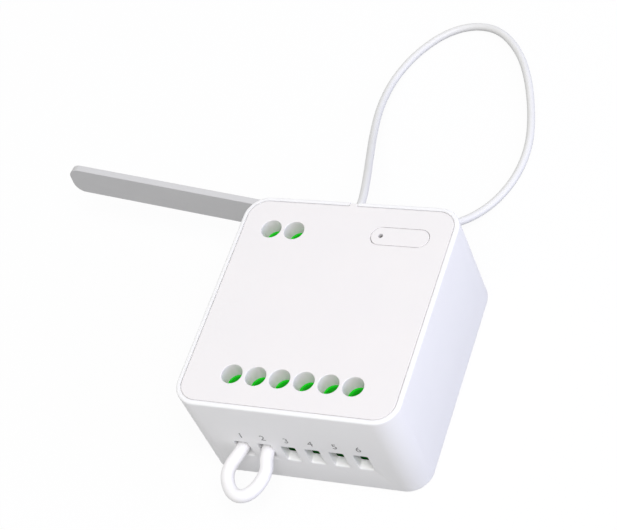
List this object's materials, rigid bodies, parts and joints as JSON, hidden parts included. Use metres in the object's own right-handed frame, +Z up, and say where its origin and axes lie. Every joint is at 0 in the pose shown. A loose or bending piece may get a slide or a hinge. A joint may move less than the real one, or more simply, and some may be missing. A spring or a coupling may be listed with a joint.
{
  "type": "smart relay module",
  "caption": "White in-wall smart relay box with green screw terminals front and back, pill-shaped button, looped antenna wire, link wire and a flat grey strap.",
  "frame": {"origin": "centre of the box's flat base", "axes": "+X to the right along the front terminal row, +Y from the front wire entries to the back wall, +Z up through the cover"},
  "size_m": [0.0969, 0.1332, 0.0249],
  "materials": {
    "shell_white": "moulded ABS, fine satin",
    "cover_white": "moulded ABS, fine satin",
    "clear_acrylic": "clear moulded acrylic",
    "lamp_body": "moulded lamp chip",
    "black_plastic": "moulded",
    "grey_plastic": "moulded",
    "circuit_board": "glass-epoxy with solder mask",
    "nylon": "moulded nylon",
    "tinned_pin": "tinned wire",
    "tinned_steel": "tinned sheet",
    "terminal_green": "moulded polyamide",
    "contact_brass": "stamped",
    "ferrite": "sintered and ground",
    "winding_tape": "polyester tape",
    "can_sleeve": "shrunk sleeve",
    "blue_epoxy": "dipped epoxy",
    "green_enamel": "fired enamel",
    "wire_sleeve": "extruded insulation",
    "bare_copper": "drawn wire",
    "strap_grey": "moulded soft plastic, satin",
    "relay_shell": "moulded",
    "coil_wire": "enamelled copper",
    "soft_iron": "stamped, plated",
    "screw_steel": "zinc-plated"
  },
  "bodies": {
    "module": {"housing": "shell_white", "top_cover": "cover_white", "light_guide": "clear_acrylic", "status_light": "lamp_body", "tact_switch_body": "black_plastic", "control_board": "circuit_board", "board_spacers": "nylon", "pin_header": "black_plastic", "header_pins": "tinned_pin", "radio_board": "circuit_board", "radio_shield": "tinned_steel", "main_board": "circuit_board", "terminal_block_six": "terminal_green", "terminal_block_two": "terminal_green", "contact_bars": "contact_brass", "transformer_core": "ferrite", "transformer_bobbin": "black_plastic", "transformer_winding": "winding_tape", "input_capacitor": "can_sleeve", "output_capacitor": "can_sleeve", "surge_varistor": "blue_epoxy", "fusible_resistor": "green_enamel", "bridge_rectifier": "black_plastic", "component_leads": "tinned_pin", "antenna_wire": "wire_sleeve", "antenna_lead": "tinned_pin", "link_wire": "wire_sleeve", "link_cores": "bare_copper", "mounting_strap": "strap_grey", "relay_base_1": "relay_shell", "relay_case_1": "relay_shell", "relay_coil_1": "coil_wire", "relay_yoke_1": "soft_iron", "relay_contacts_1": "contact_brass", "relay_base_2": "relay_shell", "relay_case_2": "relay_shell", "relay_coil_2": "coil_wire", "relay_yoke_2": "soft_iron", "relay_contacts_2": "contact_brass"},
    "button": {"function_button": "cover_white"},
    "plunger": {"tact_switch_plunger": "grey_plastic"},
    "screw_1": {"terminal_screw_1": "screw_steel"},
    "cage_1": {"clamp_cage_1": "screw_steel"},
    "screw_2": {"terminal_screw_2": "screw_steel"},
    "cage_2": {"clamp_cage_2": "screw_steel"},
    "screw_3": {"terminal_screw_3": "screw_steel"},
    "cage_3": {"clamp_cage_3": "screw_steel"},
    "screw_4": {"terminal_screw_4": "screw_steel"},
    "cage_4": {"clamp_cage_4": "screw_steel"},
    "screw_5": {"terminal_screw_5": "screw_steel"},
    "cage_5": {"clamp_cage_5": "screw_steel"},
    "screw_6": {"terminal_screw_6": "screw_steel"},
    "cage_6": {"clamp_cage_6": "screw_steel"},
    "screw_7": {"terminal_screw_7": "screw_steel"},
    "cage_7": {"clamp_cage_7": "screw_steel"},
    "screw_8": {"terminal_screw_8": "screw_steel"},
    "cage_8": {"clamp_cage_8": "screw_steel"},
    "armature_1": {"relay_armature_1": "soft_iron"},
    "armature_2": {"relay_armature_2": "soft_iron"}
  },
  "joints": [
    {"name": "button_press", "type": "slide", "parent": "module", "child": "button", "axis": [0, 0, -1], "range_m": [0, 0.00035], "stiffness_N_per_m": 1500, "springref_m": -0.0003},
    {"name": "plunger_press", "type": "slide", "parent": "module", "child": "plunger", "axis": [0, 0, -1], "range_m": [0, 0.00035]},
    {"name": "cage_1_lift", "type": "slide", "parent": "module", "child": "cage_1", "axis": [0, 0, 1], "range_m": [-0.00142, 0]},
    {"name": "screw_1_turn", "type": "hinge", "parent": "module", "child": "screw_1", "pos_m": [-0.0125, -0.01753, 0.02], "axis": [0, 0, -1], "range_deg": [-1137, 0]},
    {"name": "cage_2_lift", "type": "slide", "parent": "module", "child": "cage_2", "axis": [0, 0, 1], "range_m": [-0.00142, 0]},
    {"name": "screw_2_turn", "type": "hinge", "parent": "module", "child": "screw_2", "pos_m": [-0.00742, -0.01753, 0.02], "axis": [0, 0, -1], "range_deg": [-1137, 0]},
    {"name": "cage_3_lift", "type": "slide", "parent": "module", "child": "cage_3", "axis": [0, 0, 1], "range_m": [0, 0.0024]},
    {"name": "screw_3_turn", "type": "hinge", "parent": "module", "child": "screw_3", "pos_m": [-0.00234, -0.01753, 0.02], "axis": [0, 0, -1], "range_deg": [0, 1921]},
    {"name": "cage_4_lift", "type": "slide", "parent": "module", "child": "cage_4", "axis": [0, 0, 1], "range_m": [0, 0.0024]},
    {"name": "screw_4_turn", "type": "hinge", "parent": "module", "child": "screw_4", "pos_m": [0.00274, -0.01753, 0.02], "axis": [0, 0, -1], "range_deg": [0, 1921]},
    {"name": "cage_5_lift", "type": "slide", "parent": "module", "child": "cage_5", "axis": [0, 0, 1], "range_m": [0, 0.0024]},
    {"name": "screw_5_turn", "type": "hinge", "parent": "module", "child": "screw_5", "pos_m": [0.00782, -0.01753, 0.02], "axis": [0, 0, -1], "range_deg": [0, 1921]},
    {"name": "cage_6_lift", "type": "slide", "parent": "module", "child": "cage_6", "axis": [0, 0, 1], "range_m": [0, 0.0024]},
    {"name": "screw_6_turn", "type": "hinge", "parent": "module", "child": "screw_6", "pos_m": [0.0129, -0.01753, 0.02], "axis": [0, 0, -1], "range_deg": [0, 1921]},
    {"name": "cage_7_lift", "type": "slide", "parent": "module", "child": "cage_7", "axis": [0, 0, 1], "range_m": [0, 0.0024]},
    {"name": "screw_7_turn", "type": "hinge", "parent": "module", "child": "screw_7", "pos_m": [-0.016, 0.01715, 0.02], "axis": [0, 0, -1], "range_deg": [0, 1921]},
    {"name": "cage_8_lift", "type": "slide", "parent": "module", "child": "cage_8", "axis": [0, 0, 1], "range_m": [0, 0.0024]},
    {"name": "screw_8_turn", "type": "hinge", "parent": "module", "child": "screw_8", "pos_m": [-0.01092, 0.01715, 0.02], "axis": [0, 0, -1], "range_deg": [0, 1921]},
    {"name": "armature_1_pull", "type": "hinge", "parent": "module", "child": "armature_1", "pos_m": [-0.0173, 0.00155, 0.0158], "axis": [-1, 0, 0], "range_deg": [0, 3.8], "stiffness_Nm_per_rad": 0.02, "springref_deg": -2.86},
    {"name": "armature_2_pull", "type": "hinge", "parent": "module", "child": "armature_2", "pos_m": [-0.0094, 0.00155, 0.0158], "axis": [-1, 0, 0], "range_deg": [0, 3.8], "stiffness_Nm_per_rad": 0.02, "springref_deg": -2.86}
  ],
  "couplings": [
    {"joint": "plunger_press", "follows": "button_press", "ratio": 1},
    {"joint": "screw_1_turn", "follows": "cage_1_lift", "rad_per_m": 13963},
    {"joint": "screw_2_turn", "follows": "cage_2_lift", "rad_per_m": 13963},
    {"joint": "screw_3_turn", "follows": "cage_3_lift", "rad_per_m": 13963},
    {"joint": "screw_4_turn", "follows": "cage_4_lift", "rad_per_m": 13963},
    {"joint": "screw_5_turn", "follows": "cage_5_lift", "rad_per_m": 13963},
    {"joint": "screw_6_turn", "follows": "cage_6_lift", "rad_per_m": 13963},
    {"joint": "screw_7_turn", "follows": "cage_7_lift", "rad_per_m": 13963},
    {"joint": "screw_8_turn", "follows": "cage_8_lift", "rad_per_m": 13963}
  ]
}
